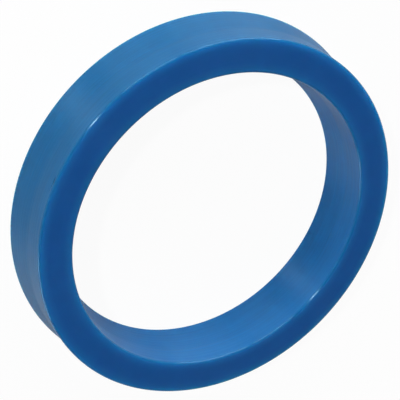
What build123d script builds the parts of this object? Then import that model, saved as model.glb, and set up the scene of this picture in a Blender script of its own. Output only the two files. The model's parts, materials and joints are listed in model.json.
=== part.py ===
from build123d import *
import math
import os

# U-cup seal: one ring of polyurethane that seals a sliding rod in a housing bore.
# The axis is +Z. The ring lies on its two lips, with the lip tips at z = 0 and the flat heel face on top.
# All sizes are in millimetres, and the seal is drawn free, as it is before it is fitted.

# The rod, and the radial depth of the housing groove round it
rod_diameter = 65.0
housing_groove_depth = 7.5

# Whole height, from the lip tips to the heel face
overall_height = 13.0

# Heel: the solid end, loose on the rod and loose in the housing, with rounded edges round its flat face
heel_rod_gap = 0.15
heel_housing_gap = 0.20
inner_heel_length = 5.9
outer_heel_length = 5.9
inner_heel_edge_radius = 0.5
outer_heel_edge_radius = 0.45

# Lips: they spread from the heel, and a fitted seal has its sealing edges squeezed back by this much
inner_lip_squeeze = 0.65
outer_lip_squeeze = 0.85

# Trim bevel from each sealing edge to its lip tip
bevel_width = 0.7
bevel_height = 0.55

# U-groove, open between the lip tips: straight flanks narrow to a full round root
u_groove_depth = 6.5
u_groove_root_radius = 1.2
u_groove_flank_angle = 13.0

# Radii from the axis, worked out from the rod and the housing
rod_radius = rod_diameter / 2
housing_radius = rod_radius + housing_groove_depth
inner_heel_radius = rod_radius + heel_rod_gap
outer_heel_radius = housing_radius - heel_housing_gap
inner_lip_radius = rod_radius - inner_lip_squeeze
outer_lip_radius = housing_radius + outer_lip_squeeze

# The groove runs midway between the sealing edges, and its flanks, drawn on, meet at an apex above the root
flank_angle = math.radians(u_groove_flank_angle)
groove_centre_radius = (inner_lip_radius + outer_lip_radius) / 2
apex_height = u_groove_depth - u_groove_root_radius + u_groove_root_radius / math.sin(flank_angle)
groove_half_opening = apex_height * math.tan(flank_angle)

# Corners of the section in order, each as (radius from the axis, height, rounding)
heel_corners = [
    (outer_heel_radius, overall_height, outer_heel_edge_radius),
    (inner_heel_radius, overall_height, inner_heel_edge_radius),
]
inner_lip_corners = [
    (inner_heel_radius, overall_height - inner_heel_length, 0),
    (inner_lip_radius, bevel_height, 0),
    (inner_lip_radius + bevel_width, 0, 0),
]
groove_corners = [
    (groove_centre_radius - groove_half_opening, 0, 0),
    (groove_centre_radius, apex_height, u_groove_root_radius),
    (groove_centre_radius + groove_half_opening, 0, 0),
]
outer_lip_corners = [
    (outer_lip_radius - bevel_width, 0, 0),
    (outer_lip_radius, bevel_height, 0),
    (outer_heel_radius, overall_height - outer_heel_length, 0),
]


def make_section(corners):
    """The closed half section, standing in the XZ plane, with its round corners as arcs."""
    points = [(radius, 0, height) for radius, height, rounding in corners]
    roundings = [rounding for radius, height, rounding in corners]
    return make_face(FilletPolyline(*points, radius=roundings, close=True))


u_cup_section = make_section(heel_corners + inner_lip_corners + groove_corners + outer_lip_corners)
u_cup_seal = revolve(u_cup_section, Axis.Z)
u_cup_seal.label = "u_cup_seal"

os.makedirs("parts", exist_ok=True)
export_step(u_cup_seal, "parts/u_cup_seal.step")
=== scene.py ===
"""U cup seal, turned from blue polyurethane, lying on its lips in a plain white studio."""
import json
import math

import bpy
from mathutils import Matrix, Vector

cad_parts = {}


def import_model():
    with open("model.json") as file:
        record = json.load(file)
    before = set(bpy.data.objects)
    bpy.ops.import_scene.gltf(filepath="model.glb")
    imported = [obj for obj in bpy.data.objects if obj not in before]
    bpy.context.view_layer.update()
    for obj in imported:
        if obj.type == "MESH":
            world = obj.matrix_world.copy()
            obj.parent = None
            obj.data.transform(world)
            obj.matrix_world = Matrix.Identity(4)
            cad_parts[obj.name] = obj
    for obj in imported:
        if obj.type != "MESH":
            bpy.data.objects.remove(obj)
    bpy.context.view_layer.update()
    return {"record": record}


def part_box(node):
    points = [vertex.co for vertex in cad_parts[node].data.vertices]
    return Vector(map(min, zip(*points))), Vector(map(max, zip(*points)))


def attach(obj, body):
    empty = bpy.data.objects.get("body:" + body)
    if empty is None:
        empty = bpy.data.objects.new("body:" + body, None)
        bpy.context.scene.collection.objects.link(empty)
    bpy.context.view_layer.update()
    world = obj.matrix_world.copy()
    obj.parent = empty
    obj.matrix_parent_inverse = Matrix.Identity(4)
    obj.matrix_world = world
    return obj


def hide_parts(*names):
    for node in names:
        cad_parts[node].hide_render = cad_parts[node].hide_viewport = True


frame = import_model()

MM = 0.001
NODE = "u_cup_seal"

# ---- sizes from the frame ----
seal_low, seal_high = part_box(NODE)
mounts = {mount["name"]: mount for mount in frame["record"]["mounts"]}
overall_height = seal_high.z - seal_low.z
outer_lip_radius = (seal_high.x - seal_low.x) / 2
heel_inner_radius = mounts["rod_bore"]["dims"]["r_mm"] * MM
heel_outer_radius = mounts["housing_wall"]["dims"]["r_mm"] * MM
heel_middle_radius = (heel_outer_radius + heel_inner_radius) / 2
heel_half_width = (heel_outer_radius - heel_inner_radius) / 2

# ---- sizes of the section, in metres ----
# they are the CAD's, but for the flare blend and the lip edges: the CAD has plain corners there
heel_length = 5.9 * MM
inner_lip_flare = 0.8 * MM
inner_heel_edge_radius = 0.5 * MM
outer_heel_edge_radius = 0.45 * MM
flare_blend_radius = 8.0 * MM
bevel_width = 0.7 * MM
bevel_height = 0.55 * MM
lip_edge_radius = 0.06 * MM
u_groove_depth = 6.5 * MM
u_groove_root_radius = 1.2 * MM
u_groove_flank_angle = math.radians(13.0)

flare_height = overall_height - heel_length
inner_lip_radius = heel_inner_radius - inner_lip_flare
# the groove's flanks, drawn on, meet at an apex above its round root
groove_centre_radius = (inner_lip_radius + outer_lip_radius) / 2
root_centre_height = u_groove_depth - u_groove_root_radius
groove_apex_height = root_centre_height + u_groove_root_radius / math.sin(u_groove_flank_angle)
groove_half_opening = groove_apex_height * math.tan(u_groove_flank_angle)

# ---- mesh density ----
TURN_STEPS = 480
ARC_STEP = math.radians(9)
ARC_LEAST_STEPS = 2
WALL_STEP = 0.6 * MM
# a row this far from each end of a straight run keeps the shading of the rounded corners off it
HOLD = 0.03 * MM
SHORTEST_RUN = 4 * HOLD
# the run from corner 2 is the outer wall, and its top has shorter steps, for the tool mark
MARKED_RUN = 2
MARKED_FROM = 11.8 * MM
MARKED_STEP = 0.12 * MM

# ---- tool mark on the outer wall: a long scratch and two short ones ----
MARK_AZIMUTH = 293.6
# the turning steps are shorter this many degrees to each side of MARK_AZIMUTH
MARK_SPREAD = 5.0
MARK_STEP = 0.2
# each row: degrees from MARK_AZIMUTH, then height, half length, half width and depth in millimetres
MARKS = (
    (0.0, 12.25, 0.8, 0.15, 0.15),
    (1.75, 12.15, 0.3, 0.13, 0.08),
    (2.95, 12.1, 0.25, 0.12, 0.06),
)
# each scratch stops this many half sizes from its middle
MARK_REACH = 2
# a point no more than this inside the outer wall's radius counts as on the wall
WALL_TOLERANCE = 0.01 * MM


def corner_points(before, corner, after, radius):
    """The arc that rounds one corner of the section."""
    back = (before - corner).normalized()
    ahead = (after - corner).normalized()
    half = back.angle(ahead) / 2
    setback = radius / math.tan(half)
    middle = (back + ahead).normalized()
    centre = corner + middle * (radius / math.sin(half))
    start = corner + back * setback - centre
    turn = math.pi - 2 * half
    if start.x * ahead.y - start.y * ahead.x < 0:
        turn = -turn
    count = max(ARC_LEAST_STEPS, math.ceil(abs(turn) / ARC_STEP))
    points = []
    for k in range(count + 1):
        angle = turn * k / count
        cos, sin = math.cos(angle), math.sin(angle)
        points.append(centre + Vector((start.x * cos - start.y * sin, start.x * sin + start.y * cos)))
    return points


def run_points(start, end, step_length):
    """Points between two arcs: one close to each end, and the rest evenly between them."""
    run = end - start
    if run.length < SHORTEST_RUN:
        return []
    step = run.normalized() * HOLD
    count = max(1, round(run.length / step_length))
    first, last = start + step, end - step
    return [first.lerp(last, k / count) for k in range(count + 1)]


def section_points():
    """The closed section: up the outer lip and wall, over the heel, down the bore and round the groove."""
    # each row: radius from the axis, height, rounding
    corners = [
        (outer_lip_radius - bevel_width, 0.0, lip_edge_radius),
        (outer_lip_radius, bevel_height, lip_edge_radius),
        (heel_outer_radius, flare_height, flare_blend_radius),
        (heel_outer_radius, overall_height, outer_heel_edge_radius),
        (heel_inner_radius, overall_height, inner_heel_edge_radius),
        (heel_inner_radius, flare_height, flare_blend_radius),
        (inner_lip_radius, bevel_height, lip_edge_radius),
        (inner_lip_radius + bevel_width, 0.0, lip_edge_radius),
        (groove_centre_radius - groove_half_opening, 0.0, lip_edge_radius),
        (groove_centre_radius, groove_apex_height, u_groove_root_radius),
        (groove_centre_radius + groove_half_opening, 0.0, lip_edge_radius),
    ]
    places = [Vector(corner[:2]) for corner in corners]
    arcs = []
    for k, (place, corner) in enumerate(zip(places, corners)):
        arcs.append(corner_points(places[k - 1], place, places[(k + 1) % len(places)], corner[2]))
    points = []
    for k, arc in enumerate(arcs):
        points.extend(arc)
        start, end = arc[-1], arcs[(k + 1) % len(arcs)][0]
        if k == MARKED_RUN:
            foot = Vector((heel_outer_radius, MARKED_FROM))
            points.extend(run_points(start, foot, WALL_STEP))
            points.extend(run_points(foot, end, MARKED_STEP))
        else:
            points.extend(run_points(start, end, WALL_STEP))
    return points


def turn_angles():
    """Even steps round the ring, with finer ones at the tool mark."""
    even = [360 * k / TURN_STEPS for k in range(TURN_STEPS)]
    far = [a for a in even if abs(a - MARK_AZIMUTH) > MARK_SPREAD]
    fine_count = int(2 * MARK_SPREAD / MARK_STEP) + 1
    fine = [MARK_AZIMUTH - MARK_SPREAD + MARK_STEP * k for k in range(fine_count)]
    return sorted(far + fine)


def mark_depth(radius, height, degrees):
    """How far the tool mark sinks into the outer wall at a point."""
    if radius < heel_outer_radius - WALL_TOLERANCE:
        return 0.0
    depth = 0.0
    for offset, middle, half_length, half_width, deep in MARKS:
        along = math.radians(degrees - MARK_AZIMUTH - offset) * heel_outer_radius / (half_length * MM)
        across = (height - middle * MM) / (half_width * MM)
        squares = along * along + across * across
        if squares < MARK_REACH ** 2:
            depth += deep * MM * math.exp(-squares)
    return depth


def seal_mesh():
    """The section turned once round the axis, as one closed mesh."""
    section = section_points()
    verts = []
    for degrees in turn_angles():
        angle = math.radians(degrees)
        for point in section:
            radius = point.x - mark_depth(point.x, point.y, degrees)
            verts.append((radius * math.cos(angle), radius * math.sin(angle), point.y))
    rows = len(section)
    turns = len(verts) // rows
    faces = []
    for i in range(turns):
        here, there = i * rows, (i + 1) % turns * rows
        for j in range(rows):
            k = (j + 1) % rows
            faces.append((here + j, there + j, there + k, here + k))
    mesh = bpy.data.meshes.new("seal_body")
    mesh.from_pydata(verts, [], faces)
    mesh.polygons.foreach_set("use_smooth", [True] * len(faces))
    mesh.update()
    return mesh


# ---- materials ----
WALL_COLOUR = (0.003, 0.083, 0.212, 1)
# the bore is painted paler than the outer wall: painted light against the shade inside the ring
BORE_COLOUR_WITH_PAINTED_LIGHT = (0.003, 0.100, 0.283, 1)
# the edge colour below is painted shade on the heel's rounded edges, and the rim colour a painted glow of
# light soaking in beside them
EDGE_COLOUR_WITH_PAINTED_SHADE = (0.004, 0.075, 0.192, 1)
RIM_PAINTED_GLOW_COLOUR = (0.012, 0.112, 0.318, 1)
HEEL_COLOUR = (0.009, 0.085, 0.293, 1)
# where the last three lie on the heel: shares of the way from its edges in to HEEL_FADE
HEEL_FADE = 2.4 * MM
EDGE_PLACE = 0.04
RIM_PLACE = 0.25
HEEL_PLACE = 0.9
# beside the bore the heel's colours start here, so the rounded edge is nearer the rim's painted glow
BORE_EDGE_PLACE = 0.1

# the look of the walls changes to that of the heel between these depths under the flat face
EDGE_DEPTH = 0.8 * MM
EDGE_FADE = 0.3 * MM
WALL_ROUGHNESS = 0.39
EDGE_ROUGHNESS = 0.21
# the fine lines vary the roughness between these shares of it
ROUGHNESS_SHARES = (0.85, 1.15)

REFRACTIVE_INDEX = 1.5
SPECULAR = 0.34
SPECULAR_TINT = (0.5, 0.8, 1.0, 1)
# fully stretched gloss, a quarter turn from round the ring, so that it spreads across the turning marks
GLOSS_STRETCH = 1.0
GLOSS_TURN = 0.25
SHEEN = 0.04
SHEEN_ROUGHNESS = 0.4
# about how far red, green and blue light soak in, as multiples of GLOW_SCALE
GLOW_DEPTH = (0.5, 6.0, 5.2)
GLOW_SCALE = 1.0 * MM

# turning marks: fine lines round the ring, and a coarser feed line every RIPPLE_PITCH
RIPPLE_PITCH = 1.05 * MM
RIPPLE_DEPTH = 0.003 * MM
# how fast the noise behind the fine lines changes: along the section, along X and Y, and with the radius
LINES_PER_METRE = 2200
LINES_X_PER_METRE = 55
LINES_Y_PER_METRE = 40
LINES_RADIUS_PER_METRE = 300
LINES_DETAIL = 3.0
LINES_HARSHNESS = 0.6
LINES_DEPTH = 0.045 * MM
# the fine lines vary the colour by this share of it, up and down
LINES_TONE = 0.28
# the turning marks keep this share of their strength on the heel and its rounded edges
HEEL_LINES = 0.15

# the specks vary the colour between these shares of it
SPECKS_PER_METRE = 420
SPECKS_DETAIL = 2.0
SPECKS_SHARES = (0.93, 1.07)

# the tool mark gets painted shade in its hollow: it loses up to MARK_SHADE of its colour, which starts and
# is complete at these depths inside the outer wall's radius, and nothing deeper than the limit belongs to it
MARK_SHADE = 0.5
MARK_SHADE_START = 0.02 * MM
MARK_SHADE_FULL = 0.08 * MM
MARK_SHADE_LIMIT = 0.3 * MM

# the sockets of a Mix node that hold colours
MIX_FIRST = 6
MIX_SECOND = 7
MIX_RESULT = 2


def node_maker(owner):
    """Clears the node tree of a material or world and returns it with a short function that adds a node."""
    owner.use_nodes = True
    tree = owner.node_tree
    tree.nodes.clear()

    def add(kind, **settings):
        node = tree.nodes.new(kind)
        for name, value in settings.items():
            if name in node.inputs:
                node.inputs[name].default_value = value
            else:
                setattr(node, name, value)
        return node

    return tree, add


def calc(tree, operation, *values):
    """Adds a math node on sockets or numbers and returns its output."""
    node = tree.nodes.new("ShaderNodeMath")
    node.operation = operation
    for socket, value in zip(node.inputs, values):
        if isinstance(value, (int, float)):
            socket.default_value = value
        else:
            tree.links.new(value, socket)
    return node.outputs[0]


def spread(tree, value, low, high):
    """Takes a value from 0 to 1 to one from low to high."""
    return calc(tree, "MULTIPLY_ADD", value, high - low, low)


def climb(tree, value, start, end, top=1.0, shape="LINEAR"):
    """0 where the value is at start and top where it is at end, and level beyond both."""
    node = tree.nodes.new("ShaderNodeMapRange")
    node.interpolation_type = shape
    node.inputs["From Min"].default_value = start
    node.inputs["From Max"].default_value = end
    node.inputs["To Max"].default_value = top
    tree.links.new(value, node.inputs["Value"])
    return node.outputs[0]


def colour_mix(tree, factor, first, second):
    """Goes from the first colour to the second, each of them a socket or four numbers."""
    node = tree.nodes.new("ShaderNodeMix")
    node.data_type = "RGBA"
    tree.links.new(factor, node.inputs["Factor"])
    for index, colour in ((MIX_FIRST, first), (MIX_SECOND, second)):
        if isinstance(colour, tuple):
            node.inputs[index].default_value = colour
        else:
            tree.links.new(colour, node.inputs[index])
    return node.outputs[MIX_RESULT]


def section_place(tree, add):
    """Sockets for the point, its separate coordinates, and its radius, aside and along.

    Aside is how far it is from the middle of the heel's width, and along is a length that grows up the
    walls and on across the heel to that middle.
    """
    point = add("ShaderNodeTexCoord").outputs["Object"]
    level = add("ShaderNodeVectorMath", operation="MULTIPLY")
    level.inputs[1].default_value = (1, 1, 0)
    reach = add("ShaderNodeVectorMath", operation="LENGTH")
    axes = add("ShaderNodeSeparateXYZ")
    tree.links.new(point, level.inputs[0])
    tree.links.new(level.outputs[0], reach.inputs[0])
    tree.links.new(point, axes.inputs[0])
    radius = reach.outputs["Value"]
    aside = calc(tree, "ABSOLUTE", calc(tree, "SUBTRACT", radius, heel_middle_radius))
    along = calc(tree, "SUBTRACT", axes.outputs["Z"], aside)
    return point, axes.outputs, radius, aside, along


def turning_lines(tree, add, axes, radius, along):
    """Noise that is fine across the section and long round the ring, as the tool leaves it."""
    round_y = calc(tree, "MULTIPLY", axes["Y"], LINES_Y_PER_METRE)
    round_ring = calc(tree, "MULTIPLY_ADD", axes["X"], LINES_X_PER_METRE, round_y)
    shift = calc(tree, "MULTIPLY", radius, LINES_RADIUS_PER_METRE)
    across = calc(tree, "MULTIPLY", along, LINES_PER_METRE)
    joined = add("ShaderNodeCombineXYZ")
    for socket, value in zip(joined.inputs, (round_ring, shift, across)):
        tree.links.new(value, socket)
    noise = add("ShaderNodeTexNoise", Scale=1.0, Detail=LINES_DETAIL, Roughness=LINES_HARSHNESS)
    tree.links.new(joined.outputs[0], noise.inputs["Vector"])
    return noise.outputs[0]


def colour_with_painted_light(tree, add, edge, radius, aside):
    """Colour without marks but with painted light: a bore painted paler than the wall, and a heel of its
    own.

    The heel's colour goes from painted shade at its edges through a rim of painted glow to that of its
    middle.
    """
    bore = calc(tree, "LESS_THAN", radius, heel_middle_radius)
    walls = colour_mix(tree, bore, WALL_COLOUR, BORE_COLOUR_WITH_PAINTED_LIGHT)
    inward = climb(tree, aside, heel_half_width, heel_half_width - HEEL_FADE)
    inward = calc(tree, "MAXIMUM", inward, calc(tree, "MULTIPLY", bore, BORE_EDGE_PLACE))
    heel = add("ShaderNodeValToRGB")
    steps = heel.color_ramp.elements
    steps[0].position, steps[0].color = EDGE_PLACE, EDGE_COLOUR_WITH_PAINTED_SHADE
    steps[1].position, steps[1].color = HEEL_PLACE, HEEL_COLOUR
    steps.new(RIM_PLACE).color = RIM_PAINTED_GLOW_COLOUR
    tree.links.new(inward, heel.inputs[0])
    return colour_mix(tree, edge, walls, heel.outputs[0])


def uneven_shade(tree, add, point, lines, strength):
    """What the colour is multiplied by: specks everywhere, and turning lines at the given strength."""
    specks = add("ShaderNodeTexNoise", Scale=SPECKS_PER_METRE, Detail=SPECKS_DETAIL)
    tree.links.new(point, specks.inputs["Vector"])
    streaks = calc(tree, "MULTIPLY", spread(tree, lines, -LINES_TONE, LINES_TONE), strength)
    streaks = calc(tree, "ADD", streaks, 1)
    return calc(tree, "MULTIPLY", streaks, spread(tree, specks.outputs[0], *SPECKS_SHARES))


def mark_painted_shade(tree, radius, height):
    """1 on the plain seal, less in the tool mark inside the outer wall's radius: painted shade."""
    start = heel_outer_radius - MARK_SHADE_START
    full = heel_outer_radius - MARK_SHADE_FULL
    sunk = climb(tree, radius, start, full, MARK_SHADE)
    under_edge = calc(tree, "LESS_THAN", height, overall_height - outer_heel_edge_radius)
    by_wall = calc(tree, "GREATER_THAN", radius, heel_outer_radius - MARK_SHADE_LIMIT)
    on_wall = calc(tree, "MULTIPLY", under_edge, by_wall)
    return calc(tree, "SUBTRACT", 1, calc(tree, "MULTIPLY", sunk, on_wall))


def turned_relief(tree, add, lines, along, strength):
    """The normal over the fine lines and the ripple, at the given strength."""
    ripple = calc(tree, "SINE", calc(tree, "MULTIPLY", along, 2 * math.pi / RIPPLE_PITCH))
    ripple = calc(tree, "MULTIPLY", ripple, RIPPLE_DEPTH)
    relief = calc(tree, "MULTIPLY_ADD", lines, LINES_DEPTH, ripple)
    bump = add("ShaderNodeBump", Strength=1.0, Distance=1.0)
    tree.links.new(calc(tree, "MULTIPLY", relief, strength), bump.inputs["Height"])
    return bump.outputs[0]


def polyurethane():
    """Blue cast polyurethane, turned: light soaks in, and gloss spreads across the turning marks."""
    material = bpy.data.materials.new("polyurethane_blue")
    tree, add = node_maker(material)
    link = tree.links.new
    point, axes, radius, aside, along = section_place(tree, add)
    height = axes["Z"]
    lines = turning_lines(tree, add, axes, radius, along)

    # 0 on the walls and 1 on the heel and its rounded edges, which the tool leaves smoother
    edge = climb(tree, height, overall_height - EDGE_DEPTH, overall_height - EDGE_FADE, shape="SMOOTHSTEP")
    strength = spread(tree, edge, 1.0, HEEL_LINES)

    shade = uneven_shade(tree, add, point, lines, strength)
    # painted shade darkens the tool mark
    shade = calc(tree, "MULTIPLY", shade, mark_painted_shade(tree, radius, height))
    tone = add("ShaderNodeVectorMath", operation="SCALE")
    link(colour_with_painted_light(tree, add, edge, radius, aside), tone.inputs[0])
    link(shade, tone.inputs["Scale"])

    rough = spread(tree, edge, WALL_ROUGHNESS, EDGE_ROUGHNESS)
    rough = calc(tree, "MULTIPLY", rough, spread(tree, lines, *ROUGHNESS_SHARES))

    shader = add("ShaderNodeBsdfPrincipled")
    link(tone.outputs[0], shader.inputs["Base Color"])
    link(rough, shader.inputs["Roughness"])
    link(turned_relief(tree, add, lines, along, strength), shader.inputs["Normal"])
    shader.inputs["IOR"].default_value = REFRACTIVE_INDEX
    shader.inputs["Specular IOR Level"].default_value = SPECULAR
    shader.inputs["Specular Tint"].default_value = SPECULAR_TINT
    shader.inputs["Sheen Weight"].default_value = SHEEN
    shader.inputs["Sheen Roughness"].default_value = SHEEN_ROUGHNESS
    shader.inputs["Subsurface Weight"].default_value = 1.0
    shader.inputs["Subsurface Radius"].default_value = GLOW_DEPTH
    shader.inputs["Subsurface Scale"].default_value = GLOW_SCALE
    shader.inputs["Anisotropic"].default_value = GLOSS_STRETCH
    shader.inputs["Anisotropic Rotation"].default_value = GLOSS_TURN
    tangent = add("ShaderNodeTangent", direction_type="RADIAL", axis="Z")
    link(tangent.outputs[0], shader.inputs["Tangent"])
    out = add("ShaderNodeOutputMaterial")
    link(shader.outputs[0], out.inputs[0])
    return material


# ---- studio ----
# how much of the floor is even white to the camera and in reflections; the rest takes light and shadow
FLOOR_GLOW = 0.95
FLOOR_COLOUR = 0.8
FLOOR_RADIUS = 3.2
FLOOR_SIDES = 96
# the floor lies this far under the lips
FLOOR_DROP = 0.01 * MM
SWEEP_RADIUS = 0.8
SWEEP_STEPS = 12
BACKDROP_HEIGHT = 1.3
WORLD_STRENGTH = 0.05

# each row: name, azimuth and elevation in degrees, distance, width and height in metres, exposure
SOFTBOXES = (
    ("front", 278, 40, 1.0, 0.08, 0.04, 0.63),
    ("key", 202, 13, 1.0, 0.8, 0.36, 1.06),
    ("upper", 244, 14, 1.0, 0.5, 0.36, 0.56),
    ("far_side", 0, 18, 1.0, 0.5, 0.36, 0.44),
)


def backdrop_paint():
    """White sweep, almost even to the camera and in reflections, with a faint shadow of the seal."""
    material = bpy.data.materials.new("backdrop_white")
    tree, add = node_maker(material)
    link = tree.links.new
    path = add("ShaderNodeLightPath")
    seen = calc(tree, "MAXIMUM", path.outputs["Is Camera Ray"], path.outputs["Is Glossy Ray"])
    seen = calc(tree, "MAXIMUM", seen, path.outputs["Is Transmission Ray"])
    paint = add("ShaderNodeBsdfDiffuse", Color=(FLOOR_COLOUR,) * 3 + (1,))
    glow = add("ShaderNodeEmission", Color=(1, 1, 1, 1), Strength=1.0)
    mix = add("ShaderNodeMixShader")
    out = add("ShaderNodeOutputMaterial")
    link(calc(tree, "MULTIPLY", seen, FLOOR_GLOW), mix.inputs[0])
    link(paint.outputs[0], mix.inputs[1])
    link(glow.outputs[0], mix.inputs[2])
    link(mix.outputs[0], out.inputs[0])
    return material


def backdrop():
    """A round floor just under the lips, which curves up into a low wall far from the seal."""
    profile = [(FLOOR_RADIUS, 0.0)]
    for k in range(1, SWEEP_STEPS + 1):
        angle = math.radians(90 * k / SWEEP_STEPS)
        profile.append((FLOOR_RADIUS + SWEEP_RADIUS * math.sin(angle), SWEEP_RADIUS * (1 - math.cos(angle))))
    profile.append((FLOOR_RADIUS + SWEEP_RADIUS, BACKDROP_HEIGHT))
    verts = []
    for radius, height in profile:
        for k in range(FLOOR_SIDES):
            angle = 2 * math.pi * k / FLOOR_SIDES
            verts.append((radius * math.cos(angle), radius * math.sin(angle), height - FLOOR_DROP))
    faces = [tuple(range(FLOOR_SIDES))]
    for row in range(len(profile) - 1):
        for k in range(FLOOR_SIDES):
            here = row * FLOOR_SIDES + k
            there = row * FLOOR_SIDES + (k + 1) % FLOOR_SIDES
            faces.append((here, there, there + FLOOR_SIDES, here + FLOOR_SIDES))
    mesh = bpy.data.meshes.new("backdrop")
    mesh.from_pydata(verts, [], faces)
    # all smooth but the first face, which is the flat floor
    mesh.polygons.foreach_set("use_smooth", [face > 0 for face in range(len(faces))])
    mesh.materials.append(backdrop_paint())
    sweep = bpy.data.objects.new("backdrop", mesh)
    bpy.context.scene.collection.objects.link(sweep)


def softbox(name, azimuth, elevation, distance, width, height, exposure):
    """A rectangular lamp that faces the seal. At exposure 1 a surface facing it shows its own colour."""
    a, e = math.radians(azimuth), math.radians(elevation)
    towards = Vector((math.cos(a) * math.cos(e), math.sin(a) * math.cos(e), math.sin(e)))
    data = bpy.data.lights.new(name, "AREA")
    data.shape = "RECTANGLE"
    data.size, data.size_y = width, height
    data.energy = exposure * (math.pi * distance) ** 2
    lamp = bpy.data.objects.new(name, data)
    lamp.location = Vector((0, 0, overall_height / 2)) + towards * distance
    lamp.rotation_euler = towards.to_track_quat("Z", "Y").to_euler()
    lamp.visible_camera = False
    bpy.context.scene.collection.objects.link(lamp)


def world():
    """Faint even light from all round."""
    made = bpy.data.worlds.new("studio")
    bpy.context.scene.world = made
    tree, add = node_maker(made)
    back = add("ShaderNodeBackground", Color=(1, 1, 1, 1), Strength=WORLD_STRENGTH)
    out = add("ShaderNodeOutputWorld")
    tree.links.new(back.outputs[0], out.inputs[0])


# ---- camera ----
CAMERA_ELEVATION = math.radians(51.09)
CAMERA_ROLL = math.radians(133.97)
CAMERA_DISTANCE = 6.864 * heel_outer_radius
# how far the middle of the heel lies right of the middle of the view, and below it
HEEL_RIGHT = 0.0175 * CAMERA_DISTANCE
HEEL_DOWN = 0.0182 * CAMERA_DISTANCE
CAMERA_LENS = 121.79
CAMERA_SENSOR = 36.0
CAMERA_NEAREST = 0.01
CAMERA_FARTHEST = 20.0


def camera():
    """Looks down on the heel from in front, rolled so that the near side is at upper left."""
    cos, sin = math.cos(CAMERA_ELEVATION), math.sin(CAMERA_ELEVATION)
    forward = Vector((0, cos, -sin))
    level_right = Vector((1, 0, 0))
    level_up = Vector((0, sin, cos))
    right = math.cos(CAMERA_ROLL) * level_right + math.sin(CAMERA_ROLL) * level_up
    up = math.cos(CAMERA_ROLL) * level_up - math.sin(CAMERA_ROLL) * level_right
    heel_centre = Vector((0, 0, overall_height))
    place = heel_centre - HEEL_RIGHT * right + HEEL_DOWN * up - CAMERA_DISTANCE * forward
    data = bpy.data.cameras.new("camera")
    data.lens = CAMERA_LENS
    data.sensor_width = CAMERA_SENSOR
    data.clip_start, data.clip_end = CAMERA_NEAREST, CAMERA_FARTHEST
    made = bpy.data.objects.new("camera", data)
    made.matrix_world = Matrix.Translation(place) @ Matrix((right, up, -forward)).transposed().to_4x4()
    bpy.context.scene.collection.objects.link(made)
    bpy.context.scene.camera = made


def seal():
    """The visible seal, in place of the CAD solid."""
    mesh = seal_mesh()
    mesh.materials.append(polyurethane())
    piece = bpy.data.objects.new("seal_body", mesh)
    bpy.context.scene.collection.objects.link(piece)
    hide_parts(NODE)
    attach(piece, "root")


seal()
backdrop()
world()
for row in SOFTBOXES:
    softbox(*row)
camera()
bpy.context.scene.view_settings.view_transform = "Standard"
